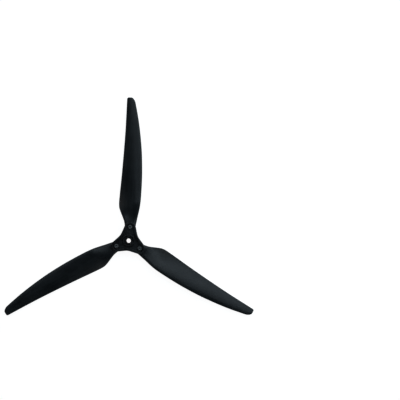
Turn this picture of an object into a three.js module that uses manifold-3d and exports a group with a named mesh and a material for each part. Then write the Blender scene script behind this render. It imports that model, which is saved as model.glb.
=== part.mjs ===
// Three-blade folding propeller for a multirotor drone.
// Millimetres, +Z up along the shaft. The origin is on the shaft axis, halfway up the hub, where the
// blades' middle planes lie. The propeller turns clockwise seen from above (+Z), and arm 1 is along +Y.

import * as THREE from 'three';
import { mergeVertices } from 'three/addons/utils/BufferGeometryUtils.js';
import Module from 'manifold-3d';

const wasm = await Module();
wasm.setup();

// ---------------------------------------------------------------- driving dimensions

const TIP_RADIUS = 152.4; // a 12 inch propeller
const PITCH = 114.3; // 4.5 inches of advance per turn
const ARM_COUNT = 3;
const FIRST_ARM = Math.PI / 2; // arm 1 points along +Y
const PIVOT_RADIUS = 14.4; // shaft axis to each blade's pivot

const HUB_HEIGHT = 12.4;
const SLOT_HEIGHT = 6; // gap between the two hub plates, where the knuckles turn
const ARM_END_RADIUS = 5.7; // round end of each arm, about its pivot
const WAIST_RADIUS = 10.7; // shaft axis to the hollow side between two arms
const SIDE_CURVE_RADIUS = 14; // curve of that hollow side
const EDGE_CHAMFER = 0.5;
const CORE_CLEARANCE = 7.6; // the core between the plates stays this far from every pivot

const POCKET_DEPTH = 1.7; // the upper plate's floor lies this far under its rim
const POCKET_END_RADIUS = 3.65; // the pocket's round end, about each screw head
const POCKET_WAIST_RADIUS = 8;
const SEAT_RADIUS = 6.4; // raised seat for the propeller nut
const RELIEF_RADIUS = 5.2; // outside of the three curved reliefs beside the bush
const RELIEF_HALF_ANGLE = THREE.MathUtils.degToRad(38);

const BORE_RADIUS = 2.5;
const BUSH_RADIUS = 3.75;
const BUSH_CHAMFER = 0.3;

const SCREW_RADIUS = 1.5; // M3
const SCREW_LENGTH = 10;
const SCREW_HOLE_RADIUS = 1.6;
const HEAD_RADIUS = 2.85;
const HEAD_HEIGHT = 1.65;
const HEAD_RIM_HEIGHT = 0.45; // straight edge under the domed top
const KEY_WIDTH = 2; // hexagon socket, across flats
const KEY_DEPTH = 1;
const NUT_WIDTH = 5.5; // across flats
const NUT_HEIGHT = 1.8;
const NUT_CORNER_DROP = 0.35; // how far the chamfer runs down a nut's corners
const NUT_POCKET_WIDTH = 5.7;
const NUT_POCKET_DEPTH = 2.2;

const SLEEVE_RADIUS = 2.25;
const WASHER_RADIUS = 4.5;
const WASHER_THICKNESS = 0.4;
const RUNNING_GAP = 0.1; // radial, between the sleeve and what turns on it
const FIT_GAP = 0.05; // radial, round the bush and in the nuts' threads
const END_FLOAT = 0.05; // axial, between each washer and the knuckle

const KNUCKLE_RADIUS = 5.8;
const KNUCKLE_CHAMFER = 0.3;
const BLADE_LENGTH = TIP_RADIUS - PIVOT_RADIUS;
const BLADE_LAG = [5.5, 6.7, 6.1].map(THREE.MathUtils.degToRad); // each blade's angle behind its arm

// Blade sections by distance from the pivot. The leading edge lies on the blade's -Y side.
const LEADING_EDGE = [[0, 5.5], [10, 7.6], [24, 10.45], [40, 11.7], [60, 12.2], [84, 11.3], [112, 8.15],
  [BLADE_LENGTH, 3.3]];
const TRAILING_EDGE = [[0, 5.4], [7, 6.7], [15.5, 10], [20, 11.6], [24, 12.1], [32, 11.6], [60, 9], [100, 6.05],
  [BLADE_LENGTH, 4.35]];
const THICKNESS = [[0, 5.1], [12, 4.7], [24, 3.9], [40, 3.1], [75, 2.3], [110, 1.6], [BLADE_LENGTH, 0.9]];
const CAMBER_RATIO = 0.045; // camber over chord
const TRAILING_THICKNESS = 0.5;
const TWIST_START = 6; // the root is flat up to here
const TWIST_FULL = 27; // from here on the blade follows the helix of its pitch
const TIP_ROUND = 6; // length of the rounding at the leading corner of the tip
const TIP_CORNER = 0.9; // radius of the trailing corner

// ---------------------------------------------------------------- derived heights

const TOP = HUB_HEIGHT / 2;
const BOTTOM = -TOP;
const SLOT_TOP = SLOT_HEIGHT / 2;
const SLOT_BOTTOM = -SLOT_TOP;
const POCKET_FLOOR = TOP - POCKET_DEPTH;
const KNUCKLE_TOP = SLOT_TOP - WASHER_THICKNESS - END_FLOAT;
const NUT_TOP = BOTTOM + NUT_POCKET_DEPTH;
const OVERCUT = 1; // how far a cutting solid reaches past the face that it cuts
const CLEAR_OF_ALL = 50; // wider than the whole hub

// ---------------------------------------------------------------- materials

const blackNylon = { color: 0x16191b, roughness: 0.5, metalness: 0 };
const blackAnodised = { color: 0x17191c, roughness: 0.4, metalness: 0.7 };
const blackenedSteel = { color: 0x3a3f45, roughness: 0.35, metalness: 0.9 };
const springSteel = { color: 0x9a9da0, roughness: 0.35, metalness: 1 };
const brass = { color: 0xb08d45, roughness: 0.35, metalness: 1 };

// ---------------------------------------------------------------- making solids

function toSolid(geometry) {
  geometry.deleteAttribute('normal');
  geometry.deleteAttribute('uv');
  const merged = mergeVertices(geometry, 1e-4);
  const vertProperties = new Float32Array(merged.attributes.position.array);
  const triVerts = new Uint32Array(merged.index.array);
  return new wasm.Manifold(new wasm.Mesh({ numProp: 3, vertProperties, triVerts }));
}

function toGeometry(solid) {
  const mesh = solid.getMesh();
  const geometry = new THREE.BufferGeometry();
  geometry.setAttribute('position', new THREE.BufferAttribute(new Float32Array(mesh.vertProperties), 3));
  geometry.setIndex(new THREE.BufferAttribute(new Uint32Array(mesh.triVerts), 1));
  geometry.computeVertexNormals();
  return geometry;
}

// A prism of a flat outline between two heights, its end edges chamfered if asked.
function prism(outline, low, high, chamfer = 0) {
  const geometry = new THREE.ExtrudeGeometry(outline, {
    depth: high - low - 2 * chamfer,
    bevelEnabled: chamfer > 0,
    bevelThickness: chamfer,
    bevelSize: chamfer,
    bevelOffset: -chamfer,
    bevelSegments: 1,
    curveSegments: 10,
  });
  geometry.translate(0, 0, low + chamfer);
  return toSolid(geometry);
}

// A turned solid about +Z. The profile holds [radius, height] points, anticlockwise, and is closed here.
function turned(profile, segments = 32) {
  const points = [...profile, profile[0]].map(([radius, height]) => new THREE.Vector2(radius, -height));
  const geometry = new THREE.LatheGeometry(points.reverse(), segments);
  geometry.rotateX(-Math.PI / 2);
  return toSolid(geometry);
}

function tube(innerRadius, outerRadius, low, high, segments) {
  return turned([[innerRadius, low], [outerRadius, low], [outerRadius, high], [innerRadius, high]], segments);
}

function rod(radius, low, high, segments = 32) {
  const geometry = new THREE.CylinderGeometry(radius, radius, high - low, segments);
  geometry.rotateX(Math.PI / 2);
  geometry.translate(0, 0, (low + high) / 2);
  return toSolid(geometry);
}

function hexagonalRod(acrossFlats, low, high) {
  return rod(acrossFlats / 2 / Math.cos(Math.PI / 6), low, high, 6);
}

// ---------------------------------------------------------------- hub

function armAngle(arm) {
  return FIRST_ARM + (arm * 2 * Math.PI) / ARM_COUNT;
}

// Cuts the same hole at all three pivots.
function cutAtPivots(solid, hole) {
  let cut = solid;
  for (let arm = 0; arm < ARM_COUNT; arm += 1) {
    const angle = armAngle(arm);
    const place = [PIVOT_RADIUS * Math.cos(angle), PIVOT_RADIUS * Math.sin(angle), 0];
    cut = cut.subtract(hole.rotate([0, 0, THREE.MathUtils.radToDeg(angle)]).translate(place));
  }
  return cut;
}

// A star with a round end about each pivot. Straight flanks lead from there to a hollow curve
// between the arms, and touch both circles, which sets the angle where each arc begins and ends.
function starOutline(endRadius, waistRadius) {
  const origin = new THREE.Vector2();
  const halfStep = Math.PI / ARM_COUNT;
  const curveRadius = SIDE_CURVE_RADIUS + WAIST_RADIUS - waistRadius;
  const pivot = new THREE.Vector2(PIVOT_RADIUS, 0);
  const curveCentre = new THREE.Vector2(waistRadius + curveRadius, 0).rotateAround(origin, halfStep);
  const across = curveCentre.clone().sub(pivot);
  const flankNormal = across.angle() - Math.acos((endRadius + curveRadius) / across.length());

  const outline = new THREE.Shape();
  for (let arm = 0; arm < ARM_COUNT; arm += 1) {
    const angle = armAngle(arm);
    const end = pivot.clone().rotateAround(origin, angle);
    const side = curveCentre.clone().rotateAround(origin, angle);
    const curveStart = angle + flankNormal + Math.PI;
    const curveEnd = angle + 2 * halfStep - flankNormal + Math.PI;
    outline.absarc(end.x, end.y, endRadius, angle - flankNormal, angle + flankNormal, false);
    outline.absarc(side.x, side.y, curveRadius, curveStart, curveEnd, true);
  }
  return outline;
}

// A curved relief that runs from the bush out to the seat ring, between two arms.
function reliefOutline(middle) {
  const start = middle - RELIEF_HALF_ANGLE;
  const end = middle + RELIEF_HALF_ANGLE;
  const outline = new THREE.Shape();
  outline.absarc(0, 0, RELIEF_RADIUS, start, end, false);
  outline.absarc(0, 0, BORE_RADIUS, end, start, true);
  return outline;
}

function hubUpper() {
  const outline = starOutline(ARM_END_RADIUS, WAIST_RADIUS);
  const seat = rod(SEAT_RADIUS, 0, TOP + 2 * OVERCUT, 48);
  const pocket = prism(starOutline(POCKET_END_RADIUS, POCKET_WAIST_RADIUS), POCKET_FLOOR, TOP + OVERCUT);
  let plate = prism(outline, SLOT_TOP - EDGE_CHAMFER, TOP, EDGE_CHAMFER);
  plate = plate.intersect(rod(CLEAR_OF_ALL, SLOT_TOP, TOP + OVERCUT));
  plate = plate.subtract(pocket.subtract(seat));
  for (let arm = 0; arm < ARM_COUNT; arm += 1) {
    const betweenArms = armAngle(arm) + Math.PI / ARM_COUNT;
    plate = plate.subtract(prism(reliefOutline(betweenArms), POCKET_FLOOR, TOP + OVERCUT));
  }
  plate = plate.subtract(rod(BUSH_RADIUS + FIT_GAP, 0, TOP + OVERCUT));
  return cutAtPivots(plate, rod(SCREW_HOLE_RADIUS, 0, TOP + OVERCUT, 24));
}

// The lower plate with the core that fills the middle up to the upper plate.
function hubLower() {
  const outline = starOutline(ARM_END_RADIUS, WAIST_RADIUS);
  let hub = prism(outline, BOTTOM, SLOT_TOP + EDGE_CHAMFER, EDGE_CHAMFER);
  hub = hub.intersect(rod(CLEAR_OF_ALL, BOTTOM - OVERCUT, SLOT_TOP));
  hub = hub.subtract(rod(BUSH_RADIUS + FIT_GAP, BOTTOM - OVERCUT, SLOT_TOP + OVERCUT));
  hub = cutAtPivots(hub, rod(CORE_CLEARANCE, SLOT_BOTTOM, SLOT_TOP + OVERCUT, 48));
  hub = cutAtPivots(hub, rod(SCREW_HOLE_RADIUS, BOTTOM - OVERCUT, SLOT_TOP, 24));
  return cutAtPivots(hub, hexagonalRod(NUT_POCKET_WIDTH, BOTTOM - OVERCUT, NUT_TOP));
}

function shaftBush() {
  const edge = BUSH_RADIUS - BUSH_CHAMFER;
  const lip = BORE_RADIUS + BUSH_CHAMFER;
  return turned([
    [lip, BOTTOM],
    [edge, BOTTOM],
    [BUSH_RADIUS, BOTTOM + BUSH_CHAMFER],
    [BUSH_RADIUS, TOP - BUSH_CHAMFER],
    [edge, TOP],
    [lip, TOP],
    [BORE_RADIUS, TOP - BUSH_CHAMFER],
    [BORE_RADIUS, BOTTOM + BUSH_CHAMFER],
  ]);
}

// ---------------------------------------------------------------- pivot hardware, about the pivot axis

// A button head screw: the dome is an arc from the rim up to a small flat round the key socket.
function pivotScrew() {
  const tip = POCKET_FLOOR - SCREW_LENGTH;
  const crown = POCKET_FLOOR + HEAD_HEIGHT;
  const rimTop = POCKET_FLOOR + HEAD_RIM_HEIGHT;
  const flatRadius = KEY_WIDTH * 0.75;
  const profile = [[0, tip], [SCREW_RADIUS - 0.3, tip], [SCREW_RADIUS, tip + 0.3], [SCREW_RADIUS, POCKET_FLOOR]];
  profile.push([HEAD_RADIUS, POCKET_FLOOR]);
  const domeSteps = 5;
  for (let step = 0; step <= domeSteps; step += 1) {
    const turn = (step / domeSteps) * (Math.PI / 2);
    const radius = flatRadius + (HEAD_RADIUS - flatRadius) * Math.cos(turn);
    profile.push([radius, rimTop + (crown - rimTop) * Math.sin(turn)]);
  }
  profile.push([0, crown]);
  const key = hexagonalRod(KEY_WIDTH, crown - KEY_DEPTH, crown + OVERCUT);
  return turned(profile, 24).subtract(key);
}

function pivotSleeve() {
  return tube(SCREW_HOLE_RADIUS, SLEEVE_RADIUS, SLOT_BOTTOM, SLOT_TOP, 24);
}

function thrustWasher(low) {
  return tube(SLEEVE_RADIUS + RUNNING_GAP, WASHER_RADIUS, low, low + WASHER_THICKNESS);
}

// A thin hexagon nut: a turned blank with sloping ends takes the corners off the hexagon.
function pivotNut() {
  const low = NUT_TOP - NUT_HEIGHT;
  const cornerRadius = NUT_WIDTH / 2 / Math.cos(Math.PI / 6);
  const flatRadius = NUT_WIDTH / 2 - 0.1;
  const boreRadius = SCREW_RADIUS + FIT_GAP;
  const blank = turned([
    [boreRadius, low],
    [flatRadius, low],
    [cornerRadius, low + NUT_CORNER_DROP],
    [cornerRadius, NUT_TOP - NUT_CORNER_DROP],
    [flatRadius, NUT_TOP],
    [boreRadius, NUT_TOP],
  ], 24);
  return blank.intersect(hexagonalRod(NUT_WIDTH, low - OVERCUT, NUT_TOP + OVERCUT));
}

// ---------------------------------------------------------------- blade, from its pivot along +X

// A smooth curve through [distance, value] points (cubic, with slopes taken from the neighbours).
function along(points, distance) {
  const last = points.length - 1;
  const slope = (index) => {
    const before = points[Math.max(index - 1, 0)];
    const after = points[Math.min(index + 1, last)];
    return (after[1] - before[1]) / (after[0] - before[0]);
  };
  const next = Math.max(1, points.findIndex((point) => point[0] >= distance));
  const [x0, y0] = points[next - 1];
  const [x1, y1] = points[next];
  const span = x1 - x0;
  const t = (distance - x0) / span;
  const rise = t * t * (3 - 2 * t);
  const leaveSlope = slope(next - 1) * span * t * (1 - t) * (1 - t);
  const arriveSlope = slope(next) * span * t * t * (1 - t);
  return y0 + (y1 - y0) * rise + leaveSlope - arriveSlope;
}

function twistAngle(distance) {
  const helix = Math.atan(PITCH / (2 * Math.PI * (PIVOT_RADIUS + distance)));
  return helix * THREE.MathUtils.smoothstep(distance, TWIST_START, TWIST_FULL);
}

// How much of an edge's offset is left where the tip rounds off.
function roundOff(distance, length) {
  const past = Math.max(0, (distance - BLADE_LENGTH + length) / length);
  return Math.sqrt(Math.max(0, 1 - past * past));
}

// Half of the section's thickness at a share of the chord, for a blunt-edged aerofoil that grows
// out of a slab with rounded edges at the root.
function halfThickness(share, thickness, rootness) {
  const slab = (1 - (2 * share - 1) ** 6) ** (1 / 3);
  const foil = 1.4845 * Math.sqrt(share) - 0.63 * share - 1.758 * share ** 2 + 1.4215 * share ** 3
    - 0.518 * share ** 4;
  const blunt = (TRAILING_THICKNESS / 2) * share * (1 - rootness);
  return (thickness / 2) * (rootness * slab + 2 * (1 - rootness) * foil) + blunt;
}

// One closed ring of points round the section: along the top from the leading to the trailing edge,
// and back along the underside.
function bladeSection(distance, steps) {
  const lead = -along(LEADING_EDGE, distance) * roundOff(distance, TIP_ROUND);
  const trail = along(TRAILING_EDGE, distance) - TIP_CORNER * (1 - roundOff(distance, TIP_CORNER));
  const twist = twistAngle(distance);
  const rootness = 1 - THREE.MathUtils.smoothstep(distance, TWIST_START, TWIST_FULL);
  const thickness = Math.min(along(THICKNESS, distance), (trail - lead) * 0.25 + 4 * rootness);
  const camber = CAMBER_RATIO * (trail - lead) * (1 - rootness);

  const ring = [];
  const addPoint = (share, side) => {
    const middle = 4 * camber * share * (1 - share);
    const offset = middle + side * halfThickness(share, thickness, rootness);
    const y = lead + (trail - lead) * share;
    ring.push(new THREE.Vector3(
      distance,
      y + offset * Math.sin(twist),
      -y * Math.tan(twist) + offset * Math.cos(twist),
    ));
  };
  for (let step = 0; step <= steps; step += 1) {
    addPoint((1 - Math.cos((Math.PI * step) / steps)) / 2, 1);
  }
  for (let step = steps; step > 0; step -= 1) {
    addPoint((1 - Math.cos((Math.PI * step) / steps)) / 2, -1);
  }
  return ring;
}

// Joins rings of points into one closed skin, with a fan over each end.
function loft(rings) {
  const count = rings[0].length;
  const positions = rings.flat().flatMap((point) => point.toArray());
  const indices = [];
  for (let ring = 0; ring < rings.length - 1; ring += 1) {
    for (let corner = 0; corner < count; corner += 1) {
      const a = ring * count + corner;
      const b = ring * count + ((corner + 1) % count);
      indices.push(a, a + count, b, b, a + count, b + count);
    }
  }
  for (const [ring, flip] of [[0, true], [rings.length - 1, false]]) {
    const centre = positions.length / 3;
    const middle = new THREE.Vector3();
    rings[ring].forEach((point) => middle.addScaledVector(point, 1 / count));
    positions.push(...middle.toArray());
    for (let corner = 0; corner < count; corner += 1) {
      const a = ring * count + corner;
      const b = ring * count + ((corner + 1) % count);
      indices.push(...(flip ? [a, b, centre] : [b, a, centre]));
    }
  }
  const geometry = new THREE.BufferGeometry();
  geometry.setAttribute('position', new THREE.Float32BufferAttribute(positions, 3));
  geometry.setIndex(indices);
  return toSolid(geometry);
}

function blade() {
  const inner = [0, 3, 6, 8.5, 11, 13.5, 16, 18.5, 21, 24, 28, 33, 40, 50, 62, 75, 88, 101, 113, 124];
  const tip = [0, 0.35, 0.6, 0.8, 0.93, 1].map((share) => BLADE_LENGTH - TIP_ROUND * (1 - share));
  const foil = loft([...inner, ...tip].map((distance) => bladeSection(distance, 10)));
  const chamfered = KNUCKLE_RADIUS - KNUCKLE_CHAMFER;
  const knuckle = turned([
    [0, -KNUCKLE_TOP],
    [chamfered, -KNUCKLE_TOP],
    [KNUCKLE_RADIUS, KNUCKLE_CHAMFER - KNUCKLE_TOP],
    [KNUCKLE_RADIUS, KNUCKLE_TOP - KNUCKLE_CHAMFER],
    [chamfered, KNUCKLE_TOP],
    [0, KNUCKLE_TOP],
  ]);
  const hole = rod(SLEEVE_RADIUS + RUNNING_GAP, -SLOT_TOP, SLOT_TOP, 32);
  return foil.add(knuckle).subtract(hole);
}

// ---------------------------------------------------------------- assembly

function addPiece(group, name, solid, look) {
  const piece = new THREE.Mesh(toGeometry(solid), new THREE.MeshStandardMaterial(look));
  piece.name = name;
  group.add(piece);
  return piece;
}

function addArm(propeller, arm) {
  const number = arm + 1;
  const pivot = new THREE.Group();
  pivot.rotation.z = armAngle(arm);
  pivot.position.set(PIVOT_RADIUS, 0, 0).applyEuler(pivot.rotation);
  propeller.add(pivot);

  addPiece(pivot, `blade_${number}`, blade(), blackNylon).rotation.z = BLADE_LAG[arm];
  addPiece(pivot, `pivot_screw_${number}`, pivotScrew(), blackenedSteel);
  addPiece(pivot, `pivot_sleeve_${number}`, pivotSleeve(), brass);
  addPiece(pivot, `thrust_washer_upper_${number}`, thrustWasher(SLOT_TOP - WASHER_THICKNESS), springSteel);
  addPiece(pivot, `thrust_washer_lower_${number}`, thrustWasher(SLOT_BOTTOM), springSteel);
  addPiece(pivot, `pivot_nut_${number}`, pivotNut(), blackenedSteel);
}

const propeller = new THREE.Group();
addPiece(propeller, 'hub_lower', hubLower(), blackNylon);
addPiece(propeller, 'hub_upper', hubUpper(), blackNylon);
addPiece(propeller, 'shaft_bush', shaftBush(), blackAnodised);
for (let arm = 0; arm < ARM_COUNT; arm += 1) {
  addArm(propeller, arm);
}

export default propeller;
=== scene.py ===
"""Looks of the three-blade folding propeller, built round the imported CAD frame.

Lengths are in millimetres up to the point where a mesh is made, and metres from there on. Every visible
piece is a finer copy of its CAD node, with rounded edges and a procedural material, inside the node's box.
"""

import math

import bmesh
import bpy
from mathutils import Matrix, Vector


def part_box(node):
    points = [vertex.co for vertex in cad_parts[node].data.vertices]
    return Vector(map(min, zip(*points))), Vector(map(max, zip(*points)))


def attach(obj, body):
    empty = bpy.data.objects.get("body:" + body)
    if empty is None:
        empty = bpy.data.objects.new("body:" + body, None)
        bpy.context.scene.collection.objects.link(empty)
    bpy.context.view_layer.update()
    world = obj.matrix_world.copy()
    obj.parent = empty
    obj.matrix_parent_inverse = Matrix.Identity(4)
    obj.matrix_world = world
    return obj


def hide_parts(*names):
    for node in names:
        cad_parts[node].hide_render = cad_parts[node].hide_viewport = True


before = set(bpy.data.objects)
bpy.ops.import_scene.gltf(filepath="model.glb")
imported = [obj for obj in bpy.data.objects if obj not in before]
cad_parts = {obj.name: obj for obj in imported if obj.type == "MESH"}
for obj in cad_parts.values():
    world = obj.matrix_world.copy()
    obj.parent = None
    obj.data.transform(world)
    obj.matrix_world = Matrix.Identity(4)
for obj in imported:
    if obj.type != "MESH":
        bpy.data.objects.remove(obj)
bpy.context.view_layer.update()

MM = 0.001
ARMS = (1, 2, 3)
FULL_TURN = 2 * math.pi
QUARTER_TURN = math.pi / 2
HALF_STEP = math.pi / len(ARMS)     # from an arm to the middle of the hollow side beside it

# ---------------------------------------------------------------- sizes, in millimetres


def box_mm(node):
    """A CAD node's lowest and highest corner, in millimetres."""
    low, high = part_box(node)
    return low / MM, high / MM


PIVOTS = {arm: sum(box_mm(f"pivot_sleeve_{arm}"), Vector()) / 2 for arm in ARMS}
ARM_ANGLES = {arm: math.atan2(PIVOTS[arm].y, PIVOTS[arm].x) for arm in ARMS}
PIVOT_RADIUS = 14.4      # from the shaft axis to each blade's pivot
BLADE_LAGS = {1: math.radians(5.5), 2: math.radians(6.7), 3: math.radians(6.1)}     # behind the arms

HUB_BOTTOM = box_mm("hub_lower")[0].z
SLOT_TOP = box_mm("hub_lower")[1].z
SLOT_BOTTOM = -SLOT_TOP
HUB_TOP = box_mm("hub_upper")[1].z
ARM_END_RADIUS = 5.7     # round end of each arm, about its pivot
WAIST_RADIUS = 10.7      # from the shaft axis to the hollow side between two arms
SIDE_CURVE_RADIUS = 14   # curve of that hollow side
CORE_CLEARANCE = 7.6     # how far the slot reaches from its pivot
HUB_EDGE = 0.6           # rounding of the hub's outer edges
SEAM_EDGE = 0.12         # rounding where the two plates meet
FINE_EDGE = 0.4          # rounding of the pocket's and the reliefs' edges and floors
SLOT_EDGE = 0.2          # rounding of the slots' edges and corners
HOLE_EDGE = 0.1          # rounding of a round hole's mouths
OVERCUT = 1              # how far a cutter reaches past the face that it cuts

POCKET_FLOOR = HUB_TOP - 1.7
POCKET_END_RADIUS = 3.65
POCKET_WAIST_RADIUS = 8
SEAT_RADIUS = 6.4        # raised seat for the propeller nut
RELIEF_RADIUS = 5.2      # outside of the three curved reliefs beside the bush
RELIEF_HALF_ANGLE = math.radians(38)
BORE_RADIUS = 2.5
BUSH_RADIUS = 3.75
BUSH_HOLE_RADIUS = 3.8
BUSH_EDGE = 0.3

SCREW_RADIUS = 1.5
SCREW_TIP = POCKET_FLOOR - 10
SCREW_TIP_CHAMFER = 0.4
SCREW_HOLE_RADIUS = 1.6
THREAD_PITCH = 0.5
THREAD_DEPTH = 0.27
THREAD_TOP = SLOT_BOTTOM - 0.4
THREAD_FINENESS = 8      # rings of points to a pitch
HEAD_RADIUS = 2.85
HEAD_EDGE = 0.1          # chamfer under the head
HEAD_RIM_TOP = POCKET_FLOOR + 0.45
HEAD_TOP = POCKET_FLOOR + 1.65
KEY_WIDTH = 2            # hexagon socket, across flats
KEY_FLOOR = HEAD_TOP - 1
KEY_TAPER = 0.02         # how much narrower the socket is at its floor, on each side
KEY_POINT = 0.3          # depth of the drilled point under that floor
KEY_POINT_WIDTH = 0.1
KEY_EDGE = 0.1           # chamfer of the socket's mouth
HEAD_FLAT_RADIUS = KEY_WIDTH * 0.75

NUT_WIDTH = 5.5
NUT_CORNER_RADIUS = NUT_WIDTH / 2 / math.cos(math.pi / 6)
NUT_FLAT_RADIUS = NUT_WIDTH / 2 - 0.1
NUT_TOP = HUB_BOTTOM + 2.2
NUT_BOTTOM = NUT_TOP - 1.8
NUT_CORNER_DROP = 0.35   # how far the chamfer runs down a nut's corners
NUT_BORE_RADIUS = SCREW_RADIUS + 0.05
NUT_BORE_CHAMFER = 0.15
NUT_POCKET_WIDTH = 5.7
NUT_POCKET_EDGE = 0.15

SLEEVE_RADIUS = 2.25
SLEEVE_EDGE = 0.1
WASHER_RADIUS = 4.5
WASHER_THICKNESS = 0.4
WASHER_EDGE = 0.08
RUNNING_GAP = 0.1        # radial, between the sleeve and what turns on it
END_FLOAT = 0.05         # axial, between each washer and the knuckle
KNUCKLE_RADIUS = 5.8
KNUCKLE_TOP = SLOT_TOP - WASHER_THICKNESS - END_FLOAT
KNUCKLE_EDGE = 0.4
KNUCKLE_FADE = 4         # how far from the pivot the knuckle's edges fade into the blade's

# Blade sections by distance from the pivot. The leading edge lies on the blade's -Y side.
BLADE_LENGTH = 137.9     # just short of the CAD blade's 138, to stay inside its box
PITCH = 114.3            # advance in a turn
LEADING_EDGE = (
    (0, 5.5), (10, 7.6), (24, 10.45), (40, 11.7), (60, 12.2), (84, 11.3), (112, 8.15), (138, 3.3),
)
TRAILING_EDGE = (
    (0, 5.4), (7, 6.7), (15.5, 10), (20, 11.6), (24, 12.1), (32, 11.6), (60, 9), (100, 6.05), (138, 4.35),
)
THICKNESS = ((0, 5.1), (12, 4.7), (24, 3.9), (40, 3.1), (75, 2.3), (110, 1.6), (138, 0.9))
THICKEST_RATIO = 0.25    # thickness over chord, at most, away from the root
ROOT_ALLOWANCE = 4       # what the root may be thicker than that
CAMBER_RATIO = 0.045     # camber over chord
TRAILING_THICKNESS = 0.5
TWIST_START = 6          # the root is flat up to here
TWIST_FULL = 27          # from here on the blade follows the helix of its pitch
TIP_ROUND = 6            # length of the rounding at the tip's leading corner
TIP_CORNER = 1.6         # radius of its trailing corner
ROOT_STRETCH = 30        # up to here the sections are a millimetre apart, and further out two

# The usual four-digit aerofoil: half its thickness at a share of the chord, over its greatest thickness, is
# FOIL_NOSE times the square root of that share, plus FOIL_POWERS times its first to fourth powers.
FOIL_NOSE = 1.4845
FOIL_POWERS = (-0.63, -1.758, 1.4215, -0.518)

# ---------------------------------------------------------------- mesh helpers


def tidy_mesh(mesh):
    """Merges doubled points, drops faces without area and points that only two faces share, and turns every
    face outwards."""
    work = bmesh.new()
    work.from_mesh(mesh)
    tolerance = 0.001 * MM
    bmesh.ops.remove_doubles(work, verts=work.verts, dist=tolerance)
    bmesh.ops.dissolve_degenerate(work, edges=work.edges, dist=tolerance)
    spare = [vertex for vertex in work.verts if len(vertex.link_faces) == 2]
    bmesh.ops.dissolve_verts(work, verts=spare)
    bmesh.ops.recalc_face_normals(work, faces=work.faces)
    work.to_mesh(mesh)
    work.free()


def piece_of(name, points, faces):
    """A new object in the scene, of points in millimetres and faces."""
    mesh = bpy.data.meshes.new(name)
    mesh.from_pydata([Vector(point) * MM for point in points], [], faces)
    tidy_mesh(mesh)
    piece = bpy.data.objects.new(name, mesh)
    bpy.context.scene.collection.objects.link(piece)
    return piece


def stacked(name, rings):
    """A closed solid over rings of points, all of one count, from the lowest ring to the highest."""
    count = len(rings[0])
    points = [point for ring in rings for point in ring]
    faces = [tuple(reversed(range(count))), tuple(range(len(points) - count, len(points)))]
    for start in range(0, len(points) - count, count):
        for corner in range(count):
            after = (corner + 1) % count
            faces.append((start + corner, start + after, start + count + after, start + count + corner))
    return piece_of(name, points, faces)


def arc(centre, radius, start, end, steps):
    """Points along an arc, its two ends included."""
    angles = [start + (end - start) * step / steps for step in range(steps + 1)]
    return [(centre[0] + radius * math.cos(angle), centre[1] + radius * math.sin(angle)) for angle in angles]


def circle(radius, steps):
    return arc((0, 0), radius, 0, FULL_TURN, steps)[:-1]


def hexagon(across_flats):
    return circle(across_flats / 2 / math.cos(math.pi / 6), 6)


def quarter_turns(steps):
    """Angles from nothing to a quarter turn, both included."""
    return [QUARTER_TURN * step / steps for step in range(steps + 1)]


def levels_solid(name, outline, levels):
    """A solid whose outline is pulled in by a set amount at each height. outline(inset) gives the points,
    and levels holds (height, inset) pairs from the lowest up."""
    return stacked(name, [[(x, y, height) for x, y in outline(inset)] for height, inset in levels])


def outer_rounding(height, radius, side, steps=6):
    """Levels round an outer edge: side is +1 for a top edge at that height, and -1 for a bottom edge."""
    levels = [
        (height - side * radius * (1 - math.sin(turn)), radius * (1 - math.cos(turn)))
        for turn in quarter_turns(steps)
    ]
    return levels if side > 0 else levels[::-1]


def pocket_levels(floor, rim, radius, steps=5):
    """Levels of a cutter for a pocket from floor to rim, with a rounded rim and a fillet round its floor."""
    fillet = [
        (floor + radius * (1 - math.cos(turn)), radius * (1 - math.sin(turn)))
        for turn in quarter_turns(steps)
    ]
    rounding = [
        (rim - radius * (1 - math.sin(turn)), radius * (math.cos(turn) - 1))
        for turn in quarter_turns(steps)
    ]
    return [*fillet, *rounding, (rim + OVERCUT, -radius)]


def turned(name, profile, segments=64, shape=None):
    """A solid turned about Z. The profile holds (radius, height) points, anticlockwise, and shape may give
    another radius for an angle, a radius and a height."""
    count = len(profile)
    points = []
    faces = []
    for step in range(segments):
        angle = FULL_TURN * step / segments
        for radius, height in profile:
            here = shape(angle, radius, height) if shape else radius
            points.append((here * math.cos(angle), here * math.sin(angle), height))
        for corner in range(count):
            after = (corner + 1) % count
            nearer = step * count
            further = (step + 1) % segments * count
            faces.append((nearer + corner, further + corner, further + after, nearer + after))
    return piece_of(name, points, faces)


def turned_ring(name, inner, outer, low, high, edge, segments=96):
    """A turned ring with a small rounding on the four corners of its profile."""
    corners = (
        ((inner + edge, low + edge), 2 * QUARTER_TURN),
        ((outer - edge, low + edge), 3 * QUARTER_TURN),
        ((outer - edge, high - edge), 0),
        ((inner + edge, high - edge), QUARTER_TURN),
    )
    profile = []
    for centre, start in corners:
        profile += arc(centre, edge, start, start + QUARTER_TURN, 4)
    return turned(name, profile, segments)


def apply_modifiers(piece):
    """Turns a piece's modifiers into its mesh."""
    bpy.context.view_layer.update()
    graph = bpy.context.evaluated_depsgraph_get()
    result = bpy.data.meshes.new_from_object(piece.evaluated_get(graph))
    piece.modifiers.clear()
    piece.data = result


def combine(piece, operation, tool):
    """Cuts or intersects a piece with a tool, and removes the tool."""
    modifier = piece.modifiers.new("combine", "BOOLEAN")
    modifier.operation = operation
    modifier.solver = "EXACT"
    modifier.object = tool
    apply_modifiers(piece)
    tidy_mesh(piece.data)
    bpy.data.objects.remove(tool)
    return piece


def cut(piece, tool):
    return combine(piece, "DIFFERENCE", tool)


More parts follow.
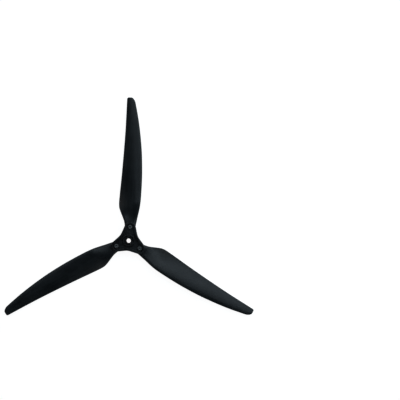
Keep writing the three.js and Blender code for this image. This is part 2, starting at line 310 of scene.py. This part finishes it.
def pivot_matrix(arm, turn=0.0):
    """Places a piece made about the origin, with +X outwards, at a pivot."""
    return Matrix.Translation(PIVOTS[arm] * MM) @ Matrix.Rotation(ARM_ANGLES[arm] + turn, 4, "Z")


def cut_at_pivots(piece, make_tool):
    """Cuts the same tool out of a piece at the three pivots. make_tool makes it about the origin."""
    for arm in ARMS:
        tool = make_tool()
        tool.matrix_world = pivot_matrix(arm)
        cut(piece, tool)


def shade(piece, crease=35):
    """Smooth shading, with creases left crisp and flat faces left flat beside their rounded edges."""
    piece.data.shade_smooth()
    piece.data.set_sharp_from_angle(angle=math.radians(crease))
    modifier = piece.modifiers.new("flat_faces", "WEIGHTED_NORMAL")
    modifier.keep_sharp = True
    modifier.weight = 90
    apply_modifiers(piece)
    return piece


# ---------------------------------------------------------------- hub


def star_outline(end_radius, waist_radius):
    """A star with a round end about each pivot, and straight flanks that touch the hollow curve between
    two arms."""
    curve_radius = SIDE_CURVE_RADIUS + WAIST_RADIUS - waist_radius
    curve_distance = waist_radius + curve_radius
    curve_centre = Vector((curve_distance * math.cos(HALF_STEP), curve_distance * math.sin(HALF_STEP)))
    across = curve_centre - Vector((PIVOT_RADIUS, 0))
    flank_normal = math.atan2(across.y, across.x) - math.acos((end_radius + curve_radius) / across.length)
    outline = []
    for arm in ARMS:
        angle = ARM_ANGLES[arm]
        between = angle + HALF_STEP
        end = (PIVOT_RADIUS * math.cos(angle), PIVOT_RADIUS * math.sin(angle))
        side = (curve_distance * math.cos(between), curve_distance * math.sin(between))
        outline += arc(end, end_radius, angle - flank_normal, angle + flank_normal, 32)
        start = angle + flank_normal + math.pi
        outline += arc(side, curve_radius, start, 2 * between + FULL_TURN - start, 24)
    return outline


def hub_outline(inset):
    return star_outline(ARM_END_RADIUS - inset, WAIST_RADIUS - inset)


def pocket_outline(inset):
    return star_outline(POCKET_END_RADIUS - inset, POCKET_WAIST_RADIUS - inset)


def nut_seat():
    """What the pocket's cutter leaves standing: the nut's raised seat, with its rounded edge."""
    levels = [(POCKET_FLOOR - OVERCUT, FINE_EDGE), *pocket_levels(POCKET_FLOOR, HUB_TOP, FINE_EDGE)]
    return levels_solid("seat", lambda inset: circle(SEAT_RADIUS + inset, 96), levels)


def relief(middle):
    """Cutter of a curved relief beside the bush, round the direction of middle."""
    def outline(inset):
        half_angle = RELIEF_HALF_ANGLE - inset / RELIEF_RADIUS
        outer = arc((0, 0), RELIEF_RADIUS - inset, middle - half_angle, middle + half_angle, 24)
        inner = arc((0, 0), BORE_RADIUS + inset, middle + half_angle, middle - half_angle, 12)
        return outer + inner
    return levels_solid("relief", outline, pocket_levels(POCKET_FLOOR, HUB_TOP, FINE_EDGE))


def round_cutter(radius, low, high):
    """Cutter of a round hole with a rounded mouth at each end."""
    bottom = [(height, -inset) for height, inset in outer_rounding(low, HOLE_EDGE, -1, steps=4)]
    top = [(height, -inset) for height, inset in outer_rounding(high, HOLE_EDGE, 1, steps=4)]
    levels = [(low - OVERCUT, -HOLE_EDGE), *bottom, *top, (high + OVERCUT, -HOLE_EDGE)]
    return levels_solid("hole", lambda inset: circle(radius - inset, 64), levels)


def hub_upper():
    levels = [*outer_rounding(SLOT_TOP, SEAM_EDGE, -1, steps=3), *outer_rounding(HUB_TOP, HUB_EDGE, 1)]
    plate = levels_solid("hub_upper", hub_outline, levels)
    pocket = levels_solid("pocket", pocket_outline, pocket_levels(POCKET_FLOOR, HUB_TOP, FINE_EDGE))
    cut(plate, cut(pocket, nut_seat()))
    for arm in ARMS:
        cut(plate, relief(ARM_ANGLES[arm] + HALF_STEP))
    cut(plate, round_cutter(BUSH_HOLE_RADIUS, SLOT_TOP, HUB_TOP))
    cut_at_pivots(plate, lambda: round_cutter(SCREW_HOLE_RADIUS, SLOT_TOP, POCKET_FLOOR))
    return shade(plate)


def knuckle_room():
    """Cutter of the slot that a blade's knuckle turns in."""
    levels = pocket_levels(SLOT_BOTTOM, SLOT_TOP, SLOT_EDGE)
    return levels_solid("slot", lambda inset: circle(CORE_CLEARANCE - inset, 96), levels)


def nut_pocket():
    """Cutter of a nut's pocket, which opens downwards."""
    upright = pocket_levels(-NUT_TOP, -HUB_BOTTOM, NUT_POCKET_EDGE, steps=3)
    levels = [(-height, inset) for height, inset in reversed(upright)]
    return levels_solid("nut_pocket", lambda inset: hexagon(NUT_POCKET_WIDTH - 2 * inset), levels)


def hub_lower():
    levels = [*outer_rounding(HUB_BOTTOM, HUB_EDGE, -1), *outer_rounding(SLOT_TOP, SEAM_EDGE, 1, steps=3)]
    plate = levels_solid("hub_lower", hub_outline, levels)
    cut(plate, round_cutter(BUSH_HOLE_RADIUS, HUB_BOTTOM, SLOT_TOP))
    cut_at_pivots(plate, knuckle_room)
    cut_at_pivots(plate, lambda: round_cutter(SCREW_HOLE_RADIUS, NUT_TOP, SLOT_BOTTOM))
    cut_at_pivots(plate, nut_pocket)
    return shade(plate)


def shaft_bush():
    return shade(turned_ring("shaft_bush", BORE_RADIUS, BUSH_RADIUS, HUB_BOTTOM, HUB_TOP, BUSH_EDGE))


# ---------------------------------------------------------------- pivot hardware


def thread(angle, radius, height):
    """Radius of the screw's thread: a groove that climbs one pitch a turn and fades out under the slot."""
    if radius < SCREW_RADIUS or height > THREAD_TOP:
        return radius
    turn = (height / THREAD_PITCH - angle / FULL_TURN) % 1
    fade = min(1, (THREAD_TOP - height) / THREAD_PITCH)
    return radius - THREAD_DEPTH * fade * (0.5 + 0.5 * math.cos(FULL_TURN * turn))


def key_socket():
    """Cutter of the hexagon socket: a flat cone under its floor, and a chamfer round its mouth."""
    levels = [
        (KEY_FLOOR - KEY_POINT, (KEY_WIDTH - KEY_POINT_WIDTH) / 2),
        (KEY_FLOOR, KEY_TAPER),
        (HEAD_TOP - KEY_EDGE, 0),
        (HEAD_TOP, -KEY_EDGE),
        (HEAD_TOP + OVERCUT, -KEY_EDGE),
    ]
    return levels_solid("key", lambda inset: hexagon(KEY_WIDTH - 2 * inset), levels)


def pivot_screw():
    """A button head screw: the dome is an arc from the rim up to a small flat round the key socket."""
    start = SCREW_TIP + SCREW_TIP_CHAMFER
    steps = round((THREAD_TOP - start) / THREAD_PITCH * THREAD_FINENESS)
    profile = [
        (0, SCREW_TIP),
        (SCREW_RADIUS - SCREW_TIP_CHAMFER, SCREW_TIP),
        *[(SCREW_RADIUS, start + (THREAD_TOP - start) * step / steps) for step in range(steps + 1)],
        (SCREW_RADIUS, POCKET_FLOOR),
        (HEAD_RADIUS - HEAD_EDGE, POCKET_FLOOR),
        (HEAD_RADIUS, POCKET_FLOOR + HEAD_EDGE),
    ]
    for turn in quarter_turns(16):
        radius = HEAD_FLAT_RADIUS + (HEAD_RADIUS - HEAD_FLAT_RADIUS) * math.cos(turn)
        profile.append((radius, HEAD_RIM_TOP + (HEAD_TOP - HEAD_RIM_TOP) * math.sin(turn)))
    profile.append((0, HEAD_TOP))
    return shade(cut(turned("screw", profile, shape=thread), key_socket()))


def pivot_nut():
    """A thin nut: a turned blank with sloping ends takes the corners off the hexagon."""
    mouth_radius = NUT_BORE_RADIUS + NUT_BORE_CHAMFER
    blank = turned("nut", [
        (NUT_BORE_RADIUS, NUT_BOTTOM + NUT_BORE_CHAMFER),
        (mouth_radius, NUT_BOTTOM),
        (NUT_FLAT_RADIUS, NUT_BOTTOM),
        (NUT_CORNER_RADIUS, NUT_BOTTOM + NUT_CORNER_DROP),
        (NUT_CORNER_RADIUS, NUT_TOP - NUT_CORNER_DROP),
        (NUT_FLAT_RADIUS, NUT_TOP),
        (mouth_radius, NUT_TOP),
        (NUT_BORE_RADIUS, NUT_TOP - NUT_BORE_CHAMFER),
    ], segments=96)
    levels = [(NUT_BOTTOM - OVERCUT, 0), (NUT_TOP + OVERCUT, 0)]
    sides = levels_solid("sides", lambda inset: hexagon(NUT_WIDTH - 2 * inset), levels)
    return shade(combine(blank, "INTERSECT", sides), crease=20)


def pivot_sleeve():
    ends = (SLOT_BOTTOM, SLOT_TOP)
    return shade(turned_ring("sleeve", SCREW_HOLE_RADIUS, SLEEVE_RADIUS, *ends, SLEEVE_EDGE, segments=64))


def thrust_washer(low):
    inner = SLEEVE_RADIUS + RUNNING_GAP
    return shade(turned_ring("washer", inner, WASHER_RADIUS, low, low + WASHER_THICKNESS, WASHER_EDGE))


# ---------------------------------------------------------------- blade, from its pivot along +X


def smoothstep(value, low, high):
    share = min(max((value - low) / (high - low), 0), 1)
    return share * share * (3 - 2 * share)


def along(points, distance):
    """A smooth curve through (distance, value) points: cubic, with slopes taken from the neighbours."""
    last = len(points) - 1

    def slope(index):
        before = points[max(index - 1, 0)]
        after = points[min(index + 1, last)]
        return (after[1] - before[1]) / (after[0] - before[0])

    following = next(index for index in range(1, last + 1) if points[index][0] >= distance)
    x0, y0 = points[following - 1]
    x1, y1 = points[following]
    span = x1 - x0
    t = (distance - x0) / span
    leave = slope(following - 1) * span * t * (1 - t) ** 2
    arrive = slope(following) * span * t * t * (1 - t)
    return y0 + (y1 - y0) * t * t * (3 - 2 * t) + leave - arrive


def twist_angle(distance):
    helix = math.atan(PITCH / (FULL_TURN * (PIVOT_RADIUS + distance)))
    return helix * smoothstep(distance, TWIST_START, TWIST_FULL)


def round_off(distance, length):
    """How much of an edge's offset is left where the tip rounds off."""
    past = max(0, (distance - BLADE_LENGTH + length) / length)
    return math.sqrt(max(0, 1 - past * past))


def edges_at(distance):
    """Where the leading and the trailing edge lie across the blade. The knuckle's circle ends it inwards."""
    circle_reach = math.sqrt(max(0, KNUCKLE_RADIUS ** 2 - distance ** 2))
    if distance < 0:
        return -circle_reach, circle_reach
    lead = max(along(LEADING_EDGE, distance), circle_reach) * round_off(distance, TIP_ROUND)
    trail = max(along(TRAILING_EDGE, distance), circle_reach)
    return -lead, trail - TIP_CORNER * (1 - round_off(distance, TIP_CORNER))


def foil_half(share, thickness, rootness):
    """Half thickness of a blunt-edged aerofoil that grows out of a slab with rounded edges."""
    slab = max(0, 1 - (2 * share - 1) ** 6) ** (1 / 3)
    foil = FOIL_NOSE * math.sqrt(share)
    for power, factor in enumerate(FOIL_POWERS, start=1):
        foil += factor * share ** power
    blunt = TRAILING_THICKNESS / 2 * share * (1 - rootness)
    return thickness / 2 * (rootness * slab + 2 * (1 - rootness) * foil) + blunt


def knuckle_half(rim_distance):
    """Half height of the knuckle's disc at a distance from its rim, which is rounded."""
    inside = min(rim_distance, KNUCKLE_EDGE)
    return KNUCKLE_TOP - KNUCKLE_EDGE + math.sqrt(KNUCKLE_EDGE ** 2 - (KNUCKLE_EDGE - inside) ** 2)


def blade_section(distance, steps):
    """One ring of points round the section: over the top to the trailing edge and back underneath."""
    lead, trail = edges_at(distance)
    chord = trail - lead
    twist = twist_angle(distance)
    rootness = 1 - smoothstep(distance, TWIST_START, TWIST_FULL)
    knuckleness = 1 - smoothstep(distance, 0, KNUCKLE_FADE)
    thickest = chord * THICKEST_RATIO + ROOT_ALLOWANCE * rootness
    thickness = min(along(THICKNESS, max(distance, 0)), thickest)
    camber = CAMBER_RATIO * chord * (1 - rootness)
    upper = []
    lower = []
    for step in range(steps + 1):
        share = (1 - math.cos(math.pi * step / steps)) / 2
        y = lead + chord * share
        to_rim = min(y - lead, trail - y)
        if distance < 0:
            to_rim = KNUCKLE_RADIUS - math.hypot(distance, y)
        half = foil_half(share, thickness, rootness)
        half += (knuckle_half(max(to_rim, 0)) - half) * knuckleness
        middle = 4 * camber * share * (1 - share)
        for side, line in ((1, upper), (-1, lower)):
            offset = middle + side * half
            height = offset * math.cos(twist) - y * math.tan(twist)
            line.append((distance, y + offset * math.sin(twist), height))
    return upper + lower[::-1]


def blade_stations():
    """Distances of the sections: close together round the knuckle and the tip, wider in between."""
    tip_start = BLADE_LENGTH - TIP_ROUND
    knuckle = [-KNUCKLE_RADIUS * math.cos(turn) for turn in quarter_turns(16)[:-1]]
    root = range(ROOT_STRETCH)
    span = range(ROOT_STRETCH, round(tip_start), 2)
    tip = [BLADE_LENGTH - TIP_ROUND * (1 - math.sin(turn)) for turn in quarter_turns(14)]
    return [*knuckle, *root, *span, *tip]


def blade():
    foil = stacked("blade", [blade_section(distance, 36) for distance in blade_stations()])
    cut(foil, round_cutter(SLEEVE_RADIUS + RUNNING_GAP, -KNUCKLE_TOP, KNUCKLE_TOP))
    return shade(foil, crease=40)


# ---------------------------------------------------------------- materials

# Noise keeps near 0.5. Each band is the part of it that a pattern spreads out, from none to all.
WIDE_BAND = (0.3, 0.7)
CLOUD_BAND = (0.35, 0.65)
STREAK_BAND = (0.4, 0.7)
FLECK_BAND = (0.57, 0.72)
# The same for how open a point is inside its piece, which falls towards an edge.
WORN_BAND = (0.85, 0.45)

# The nylon's patterns: sizes and depths in millimetres, and the share of the pale tone that each shows.
PALENESS = 3             # how many times brighter the pale tone is than the light one
STREAK_SIZE = 2.2
STREAK_DEPTH = 0.015
STREAK_SHARE = 0.14
CLOUD_SIZE = 14
FIBRE_SIZE = 0.24
FLECK_SHARE = 0.45
NYLON_WORN_REACH = 0.4

# The metals' patterns.
MARK_SIZE = 0.12
MARK_DEPTH = 0.006
MOTTLE_SIZE = 1.1
METAL_WORN_REACH = 0.12

WORN_SHARE = 0.6
PATTERN_STEP = 0.2       # metres from one copy's pattern to the next, more than any piece is long

# The colour sockets of a Mix node, which also has number and vector sockets of the same names.
COLOUR_A = 6
COLOUR_B = 7
COLOUR_RESULT = 2


class Finish:
    """A Principled material, and short calls that add the nodes of its pattern."""

    def __init__(self, name, **sockets):
        self.material = bpy.data.materials.new(name)
        self.material.use_nodes = True
        self.tree = self.material.node_tree
        self.shader = self.tree.nodes["Principled BSDF"]
        for socket, value in sockets.items():
            self.shader.inputs[socket.replace("_", " ")].default_value = value

    def node(self, kind, inputs=(), **settings):
        """A new node. inputs are values or sockets, by order or by name."""
        made = self.tree.nodes.new(kind)
        for key, value in settings.items():
            setattr(made, key, value)
        pairs = inputs.items() if isinstance(inputs, dict) else enumerate(inputs)
        for key, value in pairs:
            self.feed(made.inputs[key], value)
        return made

    def feed(self, socket, value):
        if isinstance(value, bpy.types.NodeSocket):
            self.tree.links.new(value, socket)
        else:
            socket.default_value = value

    def noise(self, size, stretch=(1, 1, 1), detail=3):
        """Noise with features of about size millimetres, longer by stretch along each axis."""
        place = self.node("ShaderNodeAttribute", attribute_name="own_place").outputs["Vector"]
        scale = [1 / (size * MM * factor) for factor in stretch]
        mapped = self.node("ShaderNodeMapping", {"Vector": place, "Scale": scale})
        inputs = {"Vector": mapped.outputs[0], "Scale": 1.0, "Detail": detail, "Roughness": 0.5}
        return self.node("ShaderNodeTexNoise", inputs).outputs["Fac"]

    def spread(self, value, band, low=0.0, high=1.0):
        """Maps a band of a value, from its first to its second end, to low..high, smoothly and clamped."""
        start, end = band
        inputs = {"Value": value, "From Min": start, "From Max": end, "To Min": low, "To Max": high}
        return self.node("ShaderNodeMapRange", inputs, interpolation_type="SMOOTHSTEP").outputs["Result"]

    def blend(self, share, first, second):
        """A colour between two others. Each is a linear RGB triple or a socket."""
        made = self.node("ShaderNodeMix", data_type="RGBA")
        self.feed(made.inputs["Factor"], share)
        for key, value in ((COLOUR_A, first), (COLOUR_B, second)):
            is_socket = isinstance(value, bpy.types.NodeSocket)
            self.feed(made.inputs[key], value if is_socket else (*value, 1))
        return made.outputs[COLOUR_RESULT]

    def worn_edges(self, reach):
        """How worn a point is by lying on an outer edge: rays sent inwards there soon leave the piece."""
        inside = self.node("ShaderNodeAmbientOcclusion", {"Distance": reach * MM}, samples=6, inside=True)
        inside.only_local = True
        return self.spread(inside.outputs["AO"], WORN_BAND, high=WORN_SHARE)

    def colour(self, value):
        self.feed(self.shader.inputs["Base Color"], value)

    def roughness(self, middle, *patterns):
        """Uneven roughness. Each pattern is a noise, with the least and the most that it adds."""
        total = middle
        for noise, least, most in patterns:
            added = self.spread(noise, WIDE_BAND, least, most)
            total = self.node("ShaderNodeMath", (total, added), operation="ADD").outputs[0]
        self.feed(self.shader.inputs["Roughness"], total)

    def bump(self, height, depth):
        """Relief of depth millimetres for a height from 0 to 1, on top of what is there already."""
        inputs = {"Height": height, "Distance": depth * MM, "Strength": 1.0}
        before = self.shader.inputs["Normal"].links
        if before:
            inputs["Normal"] = before[0].from_socket
        made = self.node("ShaderNodeBump", inputs)
        self.feed(self.shader.inputs["Normal"], made.outputs[0])


def moulded_nylon(name, dark, light, rough, grain, ripple, stretch):
    """Black glass-filled nylon: a fine grain, slow ripples, faint flow streaks, pale fibre flecks and worn
    edges. grain and ripple are each a size and a depth, and stretch draws the streaks out."""
    finish = Finish(name)
    streaks = finish.noise(STREAK_SIZE, stretch)
    cloud = finish.noise(CLOUD_SIZE)
    fibres = finish.noise(FIBRE_SIZE, (stretch[0] ** 0.5, 1, 1), detail=1)
    pale = [PALENESS * part for part in light]
    body = finish.blend(finish.spread(cloud, CLOUD_BAND), dark, light)
    body = finish.blend(finish.spread(streaks, STREAK_BAND, high=STREAK_SHARE), body, pale)
    body = finish.blend(finish.spread(fibres, FLECK_BAND, high=FLECK_SHARE), body, pale)
    finish.colour(finish.blend(finish.worn_edges(NYLON_WORN_REACH), body, pale))
    finish.roughness(rough, (streaks, -0.035, 0.035), (cloud, -0.03, 0.04))
    for size, depth in (ripple, grain):
        finish.bump(finish.noise(size), depth)
    finish.bump(streaks, STREAK_DEPTH)
    return finish.material


def machined_metal(name, dark, light, wear, metallic, rough, stretch):
    """Metal with fine tool marks, drawn out by stretch, a mottled finish and brighter edges."""
    finish = Finish(name, Metallic=metallic)
    marks = finish.noise(MARK_SIZE, stretch, detail=2)
    mottle = finish.noise(MOTTLE_SIZE, detail=4)
    body = finish.blend(finish.spread(mottle, CLOUD_BAND), dark, light)
    finish.colour(finish.blend(finish.worn_edges(METAL_WORN_REACH), body, wear))
    finish.roughness(rough, (marks, -0.06, 0.08), (mottle, -0.04, 0.06))
    finish.bump(marks, MARK_DEPTH)
    return finish.material


def blade_nylon():
    return moulded_nylon(
        "blade_nylon", dark=(0.0105, 0.0135, 0.0155), light=(0.016, 0.020, 0.0225), rough=0.4,
        grain=(0.32, 0.022), ripple=(3, 0.03), stretch=(14, 1, 1),
    )


def hub_nylon():
    return moulded_nylon(
        "hub_nylon", dark=(0.0035, 0.0047, 0.0055), light=(0.0095, 0.0125, 0.0145), rough=0.32,
        grain=(0.32, 0.025), ripple=(1.8, 0.07), stretch=(2, 2, 1),
    )


def black_anodised():
    return machined_metal(
        "black_anodised", dark=(0.012, 0.0125, 0.014), light=(0.02, 0.021, 0.023), wear=(0.12, 0.12, 0.125),
        metallic=0.8, rough=0.45, stretch=(1, 1, 0.25),
    )


def black_steel():
    return machined_metal(
        "black_steel", dark=(0.10, 0.105, 0.105), light=(0.15, 0.155, 0.155), wear=(0.26, 0.26, 0.26),
        metallic=0.9, rough=0.42, stretch=(1, 1, 0.4),
    )


def spring_steel():
    return machined_metal(
        "spring_steel", dark=(0.42, 0.43, 0.44), light=(0.55, 0.56, 0.57), wear=(0.72, 0.72, 0.72),
        metallic=1.0, rough=0.3, stretch=(1, 1, 0.3),
    )


def brass():
    return machined_metal(
        "brass", dark=(0.44, 0.30, 0.10), light=(0.58, 0.41, 0.16), wear=(0.8, 0.62, 0.3),
        metallic=1.0, rough=0.28, stretch=(1, 1, 0.3),
    )


# ---------------------------------------------------------------- the pieces


def finish_piece(piece, node, body, material, place=Matrix(), series=0):
    """Puts a piece where its CAD node is, gives it its name, body and material, and hides the node.

    The mesh moves, not the object. Its own coordinates stay in the attribute "own_place", for the material,
    and each piece of a series gets another stretch of the pattern."""
    piece.name = f"{node}_visual"
    piece.data.name = piece.name
    own_place = piece.data.attributes.new("own_place", "FLOAT_VECTOR", "POINT")
    shift = Vector((0, 0, series * PATTERN_STEP))
    for vertex, entry in zip(piece.data.vertices, own_place.data):
        entry.vector = vertex.co + shift
    piece.data.transform(place)
    piece.data.materials.clear()
    piece.data.materials.append(material)
    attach(piece, body)
    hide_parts(node)


def copies(pattern):
    """A copy of a piece for each arm. The pattern itself is used up."""
    made = {arm: bpy.data.objects.new("copy", pattern.data.copy()) for arm in ARMS}
    for piece in made.values():
        bpy.context.scene.collection.objects.link(piece)
    bpy.data.objects.remove(pattern)
    return made


def add_hub():
    nylon = hub_nylon()
    finish_piece(hub_lower(), "hub_lower", "hub", nylon)
    finish_piece(hub_upper(), "hub_upper", "hub", nylon)
    finish_piece(shaft_bush(), "shaft_bush", "hub", black_anodised())


def add_hardware():
    """What is fixed to the hub at each pivot."""
    screw_steel = black_steel()
    washer_steel = spring_steel()
    hardware = (
        ("pivot_screw", pivot_screw(), "black_steel", screw_steel),
        ("pivot_nut", pivot_nut(), "black_steel", screw_steel),
        ("pivot_sleeve", pivot_sleeve(), "brass", brass()),
        ("thrust_washer_upper", thrust_washer(SLOT_TOP - WASHER_THICKNESS), "spring_steel", washer_steel),
        ("thrust_washer_lower", thrust_washer(SLOT_BOTTOM), "spring_steel", washer_steel),
    )
    for node, pattern, slot, material in hardware:
        for arm, piece in copies(pattern).items():
            finish_piece(piece, f"{node}_{arm}", "hub", material, pivot_matrix(arm), arm)


def add_blades():
    nylon = blade_nylon()
    for arm, piece in copies(blade()).items():
        place = pivot_matrix(arm, BLADE_LAGS[arm])
        finish_piece(piece, f"blade_{arm}", f"blade_{arm}_body", nylon, place, arm)


add_hub()
add_hardware()
add_blades()

# ---------------------------------------------------------------- floor, light and camera, in metres

FLOOR_RADIUS = 12
FLOOR_COLOUR = (0.12, 0.12, 0.12, 1)
FLOOR_GLOW = 0.94        # with the light that falls on it, this makes the floor plain white
VIEW_WIDTH = 0.4254      # how much of the hub's middle plane the picture spans
CAMERA_HEIGHT = 2.5
CAMERA_PLACE = (0.0708, 0.0510)
CAMERA_TURN = math.radians(6.07)
SENSOR_WIDTH = 36
WHITE = (1, 1, 1, 1)
COOL_WHITE = (0.83, 0.93, 1)
SOFTBOX_DISTANCE = 1.5
WALL_TOP = 0.17          # sines of the elevations where the white walls end and the ceiling begins
CEILING_START = 0.34
CEILING_COLOUR = (0.036, 0.057, 0.073, 1)
CONTRAST_GAMMA = 0.7     # the photograph has deep blacks against a plain white ground


def make_floor():
    """A lit white table, on which hardly any shadow shows."""
    points = [(*point, HUB_BOTTOM) for point in circle(FLOOR_RADIUS / MM, 64)]
    floor = piece_of("floor", points, [tuple(range(len(points)))])
    finish = Finish("lit_table", Emission_Color=WHITE, Emission_Strength=FLOOR_GLOW, Roughness=0.8)
    finish.colour(FLOOR_COLOUR)
    floor.data.materials.append(finish.material)


def make_softbox(name, azimuth, tilt, size, power):
    """A square soft light aimed at the hub. tilt is the angle from straight overhead, in degrees."""
    light = bpy.data.lights.new(name, "AREA")
    light.shape = "SQUARE"
    light.size = size
    light.energy = power
    light.color = COOL_WHITE
    softbox = bpy.data.objects.new(name, light)
    bpy.context.scene.collection.objects.link(softbox)
    turn = math.radians(azimuth)
    lean = math.radians(tilt)
    towards = Vector((math.cos(turn) * math.sin(lean), math.sin(turn) * math.sin(lean), math.cos(lean)))
    softbox.location = towards * SOFTBOX_DISTANCE
    softbox.rotation_euler = towards.to_track_quat("Z", "Y").to_euler()
    softbox.visible_camera = False


def make_world():
    """A pale studio: white walls round the table, and a dark ceiling above the lights."""
    world = bpy.data.worlds.new("studio")
    bpy.context.scene.world = world
    world.use_nodes = True
    tree = world.node_tree
    direction = tree.nodes.new("ShaderNodeTexCoord").outputs["Generated"]
    split = tree.nodes.new("ShaderNodeSeparateXYZ")
    height = tree.nodes.new("ShaderNodeMapRange")
    height.interpolation_type = "SMOOTHSTEP"
    height.inputs["From Min"].default_value = WALL_TOP
    height.inputs["From Max"].default_value = CEILING_START
    colour = tree.nodes.new("ShaderNodeMix")
    colour.data_type = "RGBA"
    colour.inputs[COLOUR_A].default_value = WHITE
    colour.inputs[COLOUR_B].default_value = CEILING_COLOUR
    tree.links.new(direction, split.inputs[0])
    tree.links.new(split.outputs["Z"], height.inputs["Value"])
    tree.links.new(height.outputs["Result"], colour.inputs["Factor"])
    tree.links.new(colour.outputs[COLOUR_RESULT], tree.nodes["Background"].inputs["Color"])


def make_camera():
    """Straight above, framed as in the photograph."""
    camera = bpy.data.cameras.new("camera")
    camera.sensor_width = SENSOR_WIDTH
    camera.lens = SENSOR_WIDTH * CAMERA_HEIGHT / VIEW_WIDTH
    holder = bpy.data.objects.new("camera", camera)
    bpy.context.scene.collection.objects.link(holder)
    holder.location = (*CAMERA_PLACE, CAMERA_HEIGHT)
    holder.rotation_euler = (0, 0, CAMERA_TURN)
    bpy.context.scene.camera = holder


make_floor()
make_softbox("key", azimuth=62, tilt=44, size=1.0, power=8.2)
make_softbox("side_fill", azimuth=8, tilt=28, size=0.8, power=4.3)
make_softbox("back_fill", azimuth=125, tilt=25, size=0.7, power=4.2)
make_world()
make_camera()
bpy.context.scene.view_settings.view_transform = "Standard"
bpy.context.scene.view_settings.gamma = CONTRAST_GAMMA
